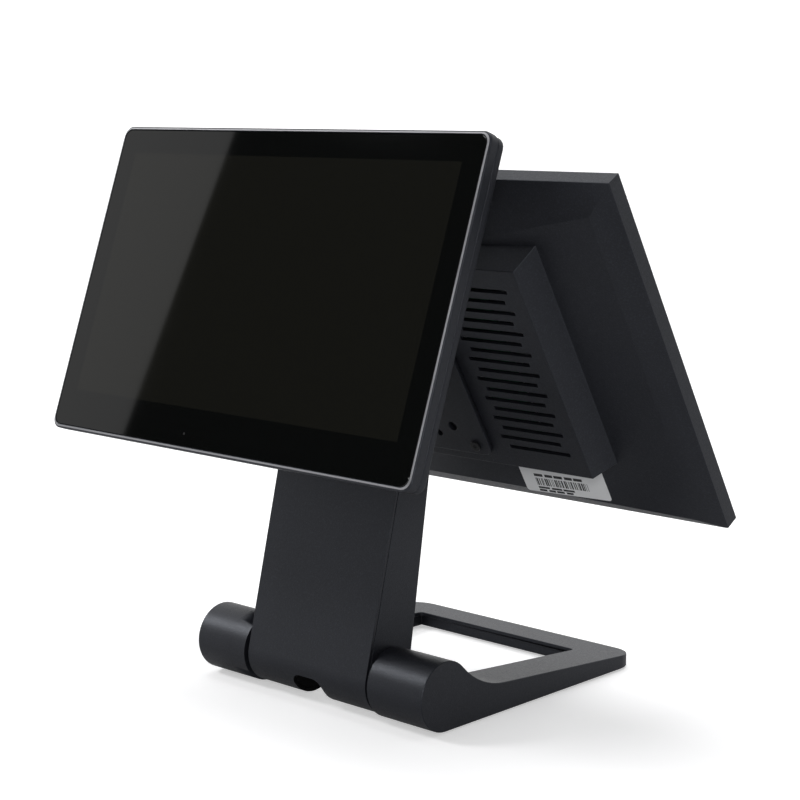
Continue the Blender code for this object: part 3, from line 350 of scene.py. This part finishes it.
def finish_piece(name, shape, mats, body, width=0.0, place=None, smooth_angle=35.0, folded=False):
    """An object from a bmesh, with rounded edges and clean shading, riding on a body."""
    mesh = bpy.data.meshes.new(name)
    shape.to_mesh(mesh)
    shape.free()
    piece = bpy.data.objects.new(name, mesh)
    SCENE.collection.objects.link(piece)
    for mat in mats:
        mesh.materials.append(mat)
    if place:
        piece.matrix_world = place
    if width:
        bevel = piece.modifiers.new("edges", "BEVEL")
        bevel.limit_method = "WEIGHT"
        bevel.width = width
        bevel.segments = 2
        bevel.use_clamp_overlap = False
        bake(piece)
    piece.data.shade_smooth()
    piece.data.set_sharp_from_angle(angle=radians(smooth_angle))
    if folded:
        keep_folds(piece.data)
    weighted = piece.modifiers.new("shading", "WEIGHTED_NORMAL")
    weighted.keep_sharp = True
    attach(piece, body)
    return piece


def stand_for(piece, node):
    """The piece is shown in place of a CAD node."""
    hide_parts(node)
    return piece


def refine(node, width, mats=None, keep=None, mark=None, folded=False):
    """The CAD shape with its edges rounded; mark() may give a face another of the materials."""
    shape = cad_mesh(node)
    if mark:
        for face in shape.faces:
            face.material_index = mark(face)
    soften_edges(shape, keep)
    mats = mats or [FINISH[SLOT_OF[node]]]
    piece = finish_piece(node + "_skin", shape, mats, BODY_OF[node], width, folded=folded)
    return stand_for(piece, node)


def own_frame(node, pivot, up=Vector((0.0, 0.0, 1.0))):
    """A flat piece's own frame at a pivot: Y along its normal towards the cashier, Z up its face."""
    widest = max(NODES[node].data.polygons, key=lambda face: face.area)
    y_axis = widest.normal if widest.normal.y > 0 else -widest.normal
    x_axis = y_axis.cross(up).normalized()
    z_axis = x_axis.cross(y_axis)
    place = Matrix((x_axis, y_axis, z_axis)).transposed().to_4x4()
    place.translation = pivot
    return place


def box_in(node, place):
    """A node's lowest and highest corners in a body's own frame."""
    back = place.inverted()
    points = [back @ vertex.co for vertex in NODES[node].data.vertices]
    return tuple(Vector([pick(point[axis] for point in points) for axis in range(3)])
                 for pick in (min, max))


def ring(low, high, inset, radius, y, steps=8):
    """Points round a rectangle with round corners, in the plane at y."""
    corners = ((high.x, low.z, -1, 1, -pi / 2), (high.x, high.z, -1, -1, 0.0),
               (low.x, high.z, 1, -1, pi / 2), (low.x, low.z, 1, 1, pi))
    points = []
    for x, z, toward_x, toward_z, start in corners:
        middle_x = x + toward_x * (inset + radius)
        middle_z = z + toward_z * (inset + radius)
        for step in range(steps + 1):
            angle = start + pi / 2 * step / steps
            points.append((middle_x + radius * cos(angle), y, middle_z + radius * sin(angle)))
    return points


def skin(rings, marks=None, closed=False):
    """A mesh over rings of equal length; marks gives each band's material."""
    shape = bmesh.new()
    loops = [[shape.verts.new(point) for point in points] for points in rings]
    bands = list(zip(loops, loops[1:]))
    if closed:
        bands.append((loops[-1], loops[0]))
    else:
        shape.faces.new(loops[0])
        shape.faces.new(loops[-1])
    for index, (near, far) in enumerate(bands):
        for i in range(len(near)):
            j = (i + 1) % len(near)
            face = shape.faces.new((near[i], near[j], far[j], far[i]))
            face.material_index = marks[index] if marks else 0
    bmesh.ops.recalc_face_normals(shape, faces=shape.faces)
    return shape


def add_slab(shape, x0, x1, y0, y1, z0, z1, mark):
    """A small box between six planes, added to a mesh."""
    corners = [shape.verts.new((x, y, z)) for x in (x0, x1) for y in (y0, y1) for z in (z0, z1)]
    sides = ((0, 1, 3, 2), (4, 6, 7, 5), (0, 4, 5, 1), (2, 3, 7, 6), (0, 2, 6, 4), (1, 5, 7, 3))
    for side in sides:
        shape.faces.new([corners[i] for i in side]).material_index = mark


# ------------------------------------------------------------- base and column

BARREL_AXIS = PIVOT["column"]
BARREL_REACH = 0.0202     # just over the barrel's radius
ARM_SIDE_BAND = 0.001     # edges nearer than this to the base's sides are rounded
NOTCH_MARGIN_X = 0.002    # how far the passage's own edges lie past its opening
NOTCH_MARGIN_Z = 0.006
PASSAGE_CORE = 0.9        # within this share of the passage's half width, a face is a wall of it
FRONT_FACING = -0.6       # a normal's y below which a face looks at the customer
CABLE_NOTCH = next(opening["box_m"] for opening in RECORD["physics"]["openings"]
                   if opening["name"] == "cable_notch")


def barrel_join(middle):
    """The hairline step where a barrel meets its arm, and the hinge pocket's mouth."""
    arm_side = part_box("base_frame")[1].x - ARM_SIDE_BAND
    away = (Vector((0.0, middle.y, middle.z)) - BARREL_AXIS).length
    return away < BARREL_REACH and abs(middle.x) < arm_side


def cable_notch(middle):
    """The cable passage under the foot, cut sharp."""
    _, high = CABLE_NOTCH
    return abs(middle.x) < high[0] + NOTCH_MARGIN_X and middle.z < high[2] + NOTCH_MARGIN_Z


def passage_shade_faces(face):
    """Painted shade: inside the cable passage, the faces that do not look at the customer take a near-black colour
    that stands for the shade there.
    """
    middle = face.calc_center_median()
    inward = face.normal.x * middle.x < 0.0 or abs(middle.x) < PASSAGE_CORE * CABLE_NOTCH[1][0]
    hidden = face.normal.y > FRONT_FACING
    return 1 if cable_notch(middle) and inward and hidden else 0


def build_stand():
    refine("base_frame", CAST_EDGE, keep=barrel_join)
    for node in ("column_shell", "column_front_cover"):
        # The cable passage's inner walls take the painted shade colour.
        refine(node, BOX_EDGE, mats=[paint, passage_shade], keep=cable_notch, mark=passage_shade_faces)
    refine("base_bottom_plate", SMALL_EDGE)
    for foot in ("front_left", "front_right", "rear_left", "rear_right"):
        refine("foot_" + foot, SMALL_EDGE)


# ------------------------------------------------------------------- main unit

MAIN = own_frame("main_touch_glass", PIVOT["main_unit"])
MAIN_PICTURE = (0.34423, 0.19360)     # a 15.6 inch panel's active area
MAIN_CORNER = 0.001
GLASS_EDGE = 0.0003


def glass_plate(name, node, place, radius, mat):
    """A glass sheet with ground edges, in its body's own frame."""
    low, high = box_in(node, place)
    rings = [ring(low, high, GLASS_EDGE, radius, low.y),
             ring(low, high, 0.0, radius, low.y + GLASS_EDGE),
             ring(low, high, 0.0, radius, high.y - GLASS_EDGE),
             ring(low, high, GLASS_EDGE, radius, high.y)]
    piece = finish_piece(name, skin(rings), [mat], BODY_OF[node], place=place)
    return stand_for(piece, node)


def picture_glass(name, panel_node, place, picture, mark=None):
    """The glass over a panel, its picture area centred on the panel's height."""
    low, high = box_in(panel_node, place)
    width, height = picture
    middle = (low.z + high.z) / 2
    return screen_glass(name, width / 2, middle - height / 2, middle + height / 2, mark)


LABEL_CORNER = 0.002
LABEL_GAP = 0.0003        # the CAD leaves this between the label and the cover
LABEL_LIFT = 0.00006      # the paper lies this far off the cover
PAPER_THICKNESS = 0.0001
INK_THICKNESS = 0.00002
PRINT_LEFT = 0.0093       # left margin of all the print
PRINT_ROWS = (            # low edge, high edge, length and number of blocks
    (0.0119, 0.0139, 0.0352, 5), (0.0028, 0.0042, 0.0268, 3), (0.0007, 0.0022, 0.0252, 4))
BLOCK_STAGGER = 0.0006    # every other block starts later by this
BLOCK_GAP = 0.0009
BARCODE = (0.0052, 0.0107, 0.0368)    # low edge, high edge, length
BARCODE_MODULE = 0.00034


def build_label():
    """The rating label: plain blocks stand where print would be, over a code of meaningless bars."""
    low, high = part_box("rating_label")
    place = own_frame("rating_label", (low + high) / 2, MAIN.to_3x3() @ Vector((0.0, 0.0, 1.0)))
    low, high = box_in("rating_label", place)
    outer = high.y + LABEL_GAP - LABEL_LIFT - PAPER_THICKNESS
    shape = skin([ring(low, high, 0.0, LABEL_CORNER, outer),
                  ring(low, high, 0.0, LABEL_CORNER, outer + PAPER_THICKNESS)])
    printed = (outer - INK_THICKNESS, outer + INK_THICKNESS)
    left = low.x + PRINT_LEFT
    for bottom, top, length, blocks in PRINT_ROWS:
        pitch = length / blocks
        for index in range(blocks):
            start = left + pitch * index + BLOCK_STAGGER * (index % 2)
            end = left + pitch * (index + 1) - BLOCK_GAP
            add_slab(shape, start, end, *printed, low.z + bottom, low.z + top, 1)
    bottom, top, length = BARCODE
    x = left
    index = 0
    while x < left + length:
        bar = BARCODE_MODULE * (1 + (index * 5 + index // 3) % 3)
        gap = BARCODE_MODULE * (1 + (index * 7 + index // 4) % 3)
        add_slab(shape, x, x + bar, *printed, low.z + bottom, low.z + top, 1)
        x += bar + gap
        index += 1
    stand_for(finish_piece("rating_label_print", shape, [paper, ink], "main_unit", place=place),
              "rating_label")


PORTS = ("usb_port_1", "usb_port_2", "video_port", "serial_port", "network_port", "drawer_port",
         "power_inlet")
PORT_LIP = 0.0006         # faces at least this far in from a mouth's edge are the plastic insert
TOLERANCE = 1e-5
CONTACT_COUNT = {"network_port": 8, "drawer_port": 6, "usb_port_1": 4, "usb_port_2": 4,
                 "video_port": 9, "serial_port": 5}
CONTACT_WIDTH = 0.0005
CONTACT_THICKNESS = 0.0001
CONTACT_SETBACK = 0.0004  # behind the mouth
CONTACT_LENGTH = 0.0030
CONTACT_SPREAD = 0.62     # share of the connector's width
TONGUE_OFFSET = 0.0015    # the contacts on a tongue lie this far off the connector's middle


def refine_port(node):
    """A metal shell round a black insert, with its row of gilt contacts."""
    low, high = box_in(node, MAIN)

    def insert(face):
        """The insert's faces take the second material."""
        middle = MAIN.inverted() @ face.calc_center_median()
        margin = min(middle.x - low.x, high.x - middle.x, middle.y - low.y, high.y - middle.y)
        return 1 if margin > PORT_LIP - TOLERANCE and middle.z > low.z + TOLERANCE else 0

    refine(node, PORT_EDGE, mats=[steel, plastic], mark=insert)
    count = CONTACT_COUNT.get(node)
    if not count:
        return
    middle = (low + high) / 2
    tongue = node.startswith(("usb", "video"))
    y = middle.y + TONGUE_OFFSET if tongue else high.y - 2 * PORT_LIP
    spread = (high.x - low.x) * CONTACT_SPREAD
    start = low.z + CONTACT_SETBACK
    shape = bmesh.new()
    for index in range(count):
        x = middle.x + spread * (index / (count - 1) - 0.5)
        add_slab(shape, x - CONTACT_WIDTH / 2, x + CONTACT_WIDTH / 2, y - CONTACT_THICKNESS / 2,
                 y + CONTACT_THICKNESS / 2, start, start + CONTACT_LENGTH, 0)
    piece = finish_piece(node + "_contacts", shape, [gold], "main_unit", place=MAIN)


FRONT_CUTS = (0.004, 0.120, 0.003, 0.072)    # depth, half width, start over the mouths, top
MOUTH_CUTS = (0.0015, 0.085, 0.004)          # least depth, half width, half height


def sharp_cuts(middle):
    """Vent slots and screw holes in the box's front wall, and the connectors' mouths below."""
    spot = MAIN.inverted() @ middle
    depth = spot.y - box_in("main_rear_cover", MAIN)[0].y
    bottom = box_in("power_inlet", MAIN)[0].z
    deepest, half_width, start, top = FRONT_CUTS
    vents = depth < deepest and abs(spot.x) < half_width and bottom + start < spot.z < top
    least, half_width, half_height = MOUTH_CUTS
    mouths = depth > least and abs(spot.x) < half_width and abs(spot.z - bottom) < half_height
    return vents or mouths


def build_main_unit():
    refine("main_rear_cover", MOULDED_EDGE, keep=sharp_cuts, folded=True)
    refine("mounting_plate", MOULDED_EDGE)
    refine("tilt_knuckle", HINGE_EDGE)
    refine("display_arm", HINGE_EDGE)
    refine("power_button", SMALL_EDGE)
    for index in range(1, 5):
        refine(f"mounting_screw_{index}", SMALL_EDGE)
    for node in PORTS:
        refine_port(node)
    mat = picture_glass("main_glass", "main_lcd_panel", MAIN, MAIN_PICTURE)
    glass_plate("main_screen", "main_touch_glass", MAIN, MAIN_CORNER, mat)
    build_label()


# ------------------------------------------------------------ customer display

DISPLAY = own_frame("display_glass", PIVOT["customer_display"])
DISPLAY_PICTURE = (0.25613, 0.14407)  # an 11.6 inch panel's active area
DISPLAY_CORNER = 0.006
CORNER_SHRINK = 0.0008    # the corner radius lost from the frame's outside to its lip
GLASS_GAP = 0.0003        # between the lip and the glass
PANEL_SEAT = 0.0001       # the glass's ledge stands this far off the panel
PANEL_MARGIN = 0.001      # the frame's opening round the panel
PANEL_CORNER = 0.0005
STANDBY_MARK = (-0.0272, -0.0815, 0.0007)    # x, z and radius of the small mark under the picture


def build_display_frame():
    """Anodised frame: side band, rounded shoulder, bright chamfer, lip and ledge for the glass."""
    node = "display_front_frame"
    low, high = box_in(node, DISPLAY)
    glass_low, _ = box_in("display_glass", DISPLAY)
    panel_low, panel_high = box_in("display_lcd_panel", DISPLAY)
    lip = glass_low.x - low.x - GLASS_GAP
    front, back = low.y, high.y
    ledge = panel_low.y - PANEL_SEAT
    dark, bright = 0, 1
    profile = (           # inset, depth and finish of the band that follows
        (0.00040, back, dark), (0.0, back - 0.0004, dark), (0.0, front + 0.00140, dark),
        (0.00010, front + 0.00105, dark), (0.00038, front + 0.00072, dark),
        (0.00092, front + 0.00040, bright), (lip - 0.00042, front + 0.00005, bright),
        (lip - 0.00024, front, dark), (lip, front + 0.00012, dark), (lip, ledge, dark))
    rings = []
    for inset, y, _ in profile:
        radius = DISPLAY_CORNER - CORNER_SHRINK * inset / lip
        rings.append(ring(low, high, inset, radius, y))
    for y in (ledge, back):
        rings.append(ring(panel_low, panel_high, -PANEL_MARGIN, PANEL_CORNER, y))
    marks = [mark for _, _, mark in profile] + [dark, dark]
    shape = skin(rings, marks, closed=True)
    stand_for(finish_piece("display_frame_skin", shape, [anodised, chamfer], BODY_OF[node],
                           place=DISPLAY, smooth_angle=14.0), node)


def build_display():
    build_display_frame()
    mat = picture_glass("customer_glass", "display_lcd_panel", DISPLAY, DISPLAY_PICTURE, STANDBY_MARK)
    radius = DISPLAY_CORNER - CORNER_SHRINK - GLASS_GAP
    glass_plate("customer_screen", "display_glass", DISPLAY, radius, mat)
    refine("display_rear_cover", SOFT_EDGE)
    refine("display_hinge_plate", MOULDED_EDGE)
    for index in range(1, 5):
        refine(f"display_screw_{index}", SMALL_EDGE)


# ---------------------------------------------------------------------- studio

WHITE = (1.0, 1.0, 1.0)
BLACK = (0.0, 0.0, 0.0)

STAGE_RADIUS = 20.0
FLOOR_DEPTH = 0.0001      # the floors lie this far under the feet
FLOOR_TONE = (0.86, 0.86, 0.87)
FLOOR_GLOW = 0.42
BOUNCE_DEPTH = 0.0004
BOUNCE_TONE = (0.80, 0.80, 0.81)
BOUNCE_GLOW = 0.10
BACKDROP_GLOW = 1.1

FLAG_EDGE = (             # x and z of two points on the glass, on the flag's mirrored edge
    (-0.0460, 0.0908), (-0.0771, -0.0872))
FLAG_DISTANCE = 1.3
FLAG_WIDTH = 3.0
FLAG_ABOVE = 1.5          # the flag runs past the glass by these shares of its height
FLAG_BELOW = 0.08

BRIGHT_SIDE = (-0.79, 0.60, 0.10)     # where the surroundings are brightest
WORLD_RAMP = (-0.75, 1.00, 0.07, 1.02)


def stage_piece(name, shape, mat, hidden):
    """A piece of the studio that the hidden kinds of light do not see."""
    mesh = bpy.data.meshes.new(name)
    shape.to_mesh(mesh)
    shape.free()
    mesh.materials.append(mat)
    piece = bpy.data.objects.new(name, mesh)
    SCENE.collection.objects.link(piece)
    for kind in hidden:
        setattr(piece, "visible_" + kind, False)


def glowing(name, tone, glow):
    """A matt studio surface that gives off a little white light of its own."""
    return new_material(name, tone, 0.9, Specular_IOR_Level=0.1, Emission_Color=(*WHITE, 1.0),
                        Emission_Strength=glow)


def floor_disc(depth):
    shape = bmesh.new()
    place = Matrix.Translation((0.0, 0.0, CAD_BOX[0][2] - depth))
    bmesh.ops.create_circle(shape, cap_ends=True, segments=64, radius=STAGE_RADIUS, matrix=place)
    return shape


def build_floor():
    """The camera sees a white floor with pale shadows; the object is lit by a dimmer one."""
    white = glowing("floor", FLOOR_TONE, FLOOR_GLOW)
    stage_piece("floor", floor_disc(FLOOR_DEPTH), white, hidden=("diffuse", "glossy"))
    dim = glowing("floor_bounce", BOUNCE_TONE, BOUNCE_GLOW)
    stage_piece("floor_bounce", floor_disc(BOUNCE_DEPTH), dim, hidden=("camera", "shadow"))


def build_backdrop():
    """A white dome that only the camera sees."""
    shape = bmesh.new()
    bmesh.ops.create_icosphere(shape, subdivisions=3, radius=STAGE_RADIUS)
    stage_piece("backdrop", shape, glowing("backdrop_white", WHITE, BACKDROP_GLOW),
                hidden=("diffuse", "glossy", "shadow", "transmission"))


def build_flag():
    """A black flag for the customer's glass, where its straight edge shows; it shades nothing."""
    low, _ = box_in("display_glass", DISPLAY)
    normal = -(DISPLAY.to_3x3() @ Vector((0.0, 1.0, 0.0)))
    ends = []
    for x, z in FLAG_EDGE:
        spot = DISPLAY @ Vector((x, low.y, z))
        ray = (spot - Vector(CAMERA_PLACE)).normalized()
        ray -= 2.0 * ray.dot(normal) * normal
        ends.append(spot + ray * FLAG_DISTANCE)
    along = ends[1] - ends[0]
    top = ends[0] - along * FLAG_ABOVE
    bottom = ends[1] + along * FLAG_BELOW
    sideways = along.cross(ray).normalized() * FLAG_WIDTH
    if sideways.x < 0.0:
        sideways.negate()
    shape = bmesh.new()
    corners = (top, bottom, bottom + sideways, top + sideways)
    shape.faces.new([shape.verts.new(corner) for corner in corners])
    mat = new_material("black_flag", BLACK, 1.0, Specular_IOR_Level=0.0)
    stage_piece("black_flag", shape, mat, hidden=("camera", "diffuse", "shadow", "transmission"))


def build_world():
    """Surroundings that are bright behind and to the left, and dim in front on the right."""
    world = bpy.data.worlds.new("studio")
    world.use_nodes = True
    tree = world.node_tree
    coords = tree.nodes.new("ShaderNodeTexCoord")
    along = tree.nodes.new("ShaderNodeVectorMath")
    along.operation = "DOT_PRODUCT"
    along.inputs[1].default_value = BRIGHT_SIDE
    ramp = tree.nodes.new("ShaderNodeMapRange")
    for socket, number in zip(list(ramp.inputs)[1:5], WORLD_RAMP):
        socket.default_value = number
    tree.links.new(coords.outputs["Generated"], along.inputs[0])
    tree.links.new(along.outputs["Value"], ramp.inputs[0])
    tree.links.new(ramp.outputs[0], tree.nodes["Background"].inputs["Strength"])
    tree.nodes["Background"].inputs["Color"].default_value = (*WHITE, 1.0)
    SCENE.world = world


def add_light(name, data, place, target):
    light = bpy.data.objects.new(name, data)
    SCENE.collection.objects.link(light)
    light.location = place
    light.rotation_mode = "QUATERNION"
    light.rotation_quaternion = (Vector(target) - Vector(place)).to_track_quat("-Z", "Y")


def sun(name, place, strength, spread):
    """Even soft light from far away, from the place's side."""
    data = bpy.data.lights.new(name, "SUN")
    data.energy = strength
    data.angle = radians(spread)
    add_light(name, data, place, (0.0, 0.0, 0.0))


def softbox(name, place, aim_height, size, power):
    """A square soft light that looks at a point over the object's middle."""
    data = bpy.data.lights.new(name, "AREA")
    data.size = size
    data.energy = power
    add_light(name, data, place, (0.0, 0.0, aim_height))


def build_studio():
    build_floor()
    build_backdrop()
    build_flag()
    build_world()
    sun("top_light", (-0.1, 0.1, 1.0), strength=1.0, spread=40.0)
    softbox("key_light", (-1.38, -1.00, 1.41), aim_height=0.12, size=0.42, power=15.0)
    softbox("edge_light", (1.35, -1.55, 0.75), aim_height=0.15, size=0.6, power=13.0)


build_stand()
build_main_unit()
build_display()
build_studio()
